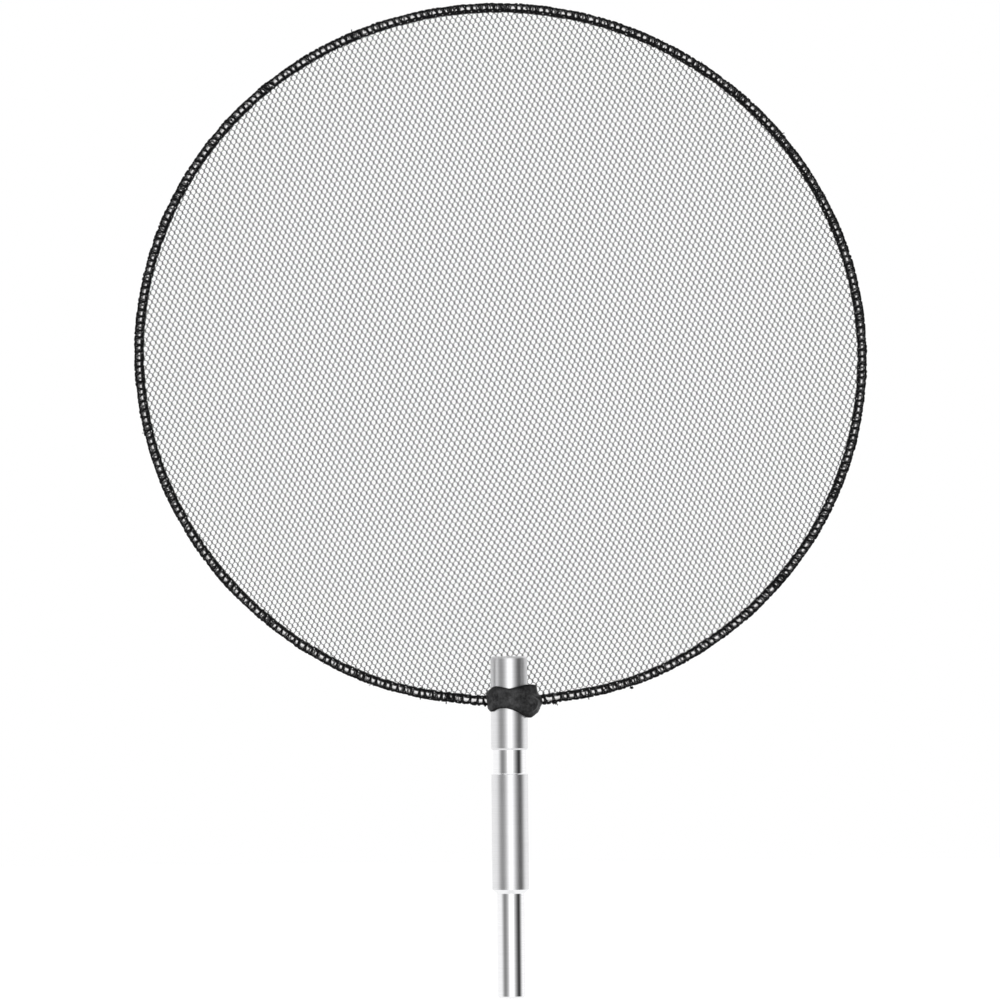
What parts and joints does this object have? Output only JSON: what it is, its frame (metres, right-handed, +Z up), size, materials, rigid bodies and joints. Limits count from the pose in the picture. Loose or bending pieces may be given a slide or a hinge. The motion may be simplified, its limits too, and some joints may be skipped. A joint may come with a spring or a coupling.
{
  "type": "open net scrim on a spigot",
  "caption": "Small round open net on a wire hoop, bound with black thread, held by a stepped round metal spigot with a straight pin.",
  "frame": {"origin": "on the spigot's axis, halfway along the pin that a clamp holds", "axes": "+Z up the spigot towards the hoop, +X to the right of the hoop seen from its front, +Y to its back"},
  "size_m": [0.2538, 0.0148, 0.3447],
  "materials": {
    "turned_aluminium": "satin",
    "spring_steel": "polished",
    "black_steel": "satin",
    "black_tulle": "matte",
    "black_thread": "matte",
    "black_vinyl": "matte"
  },
  "bodies": {
    "root": {"spigot": "turned_aluminium", "hoop_wire": "spring_steel", "grub_screw": "black_steel", "net": "black_tulle", "edge_binding": "black_thread", "joint_wrap": "black_vinyl"}
  },
  "joints": []
}
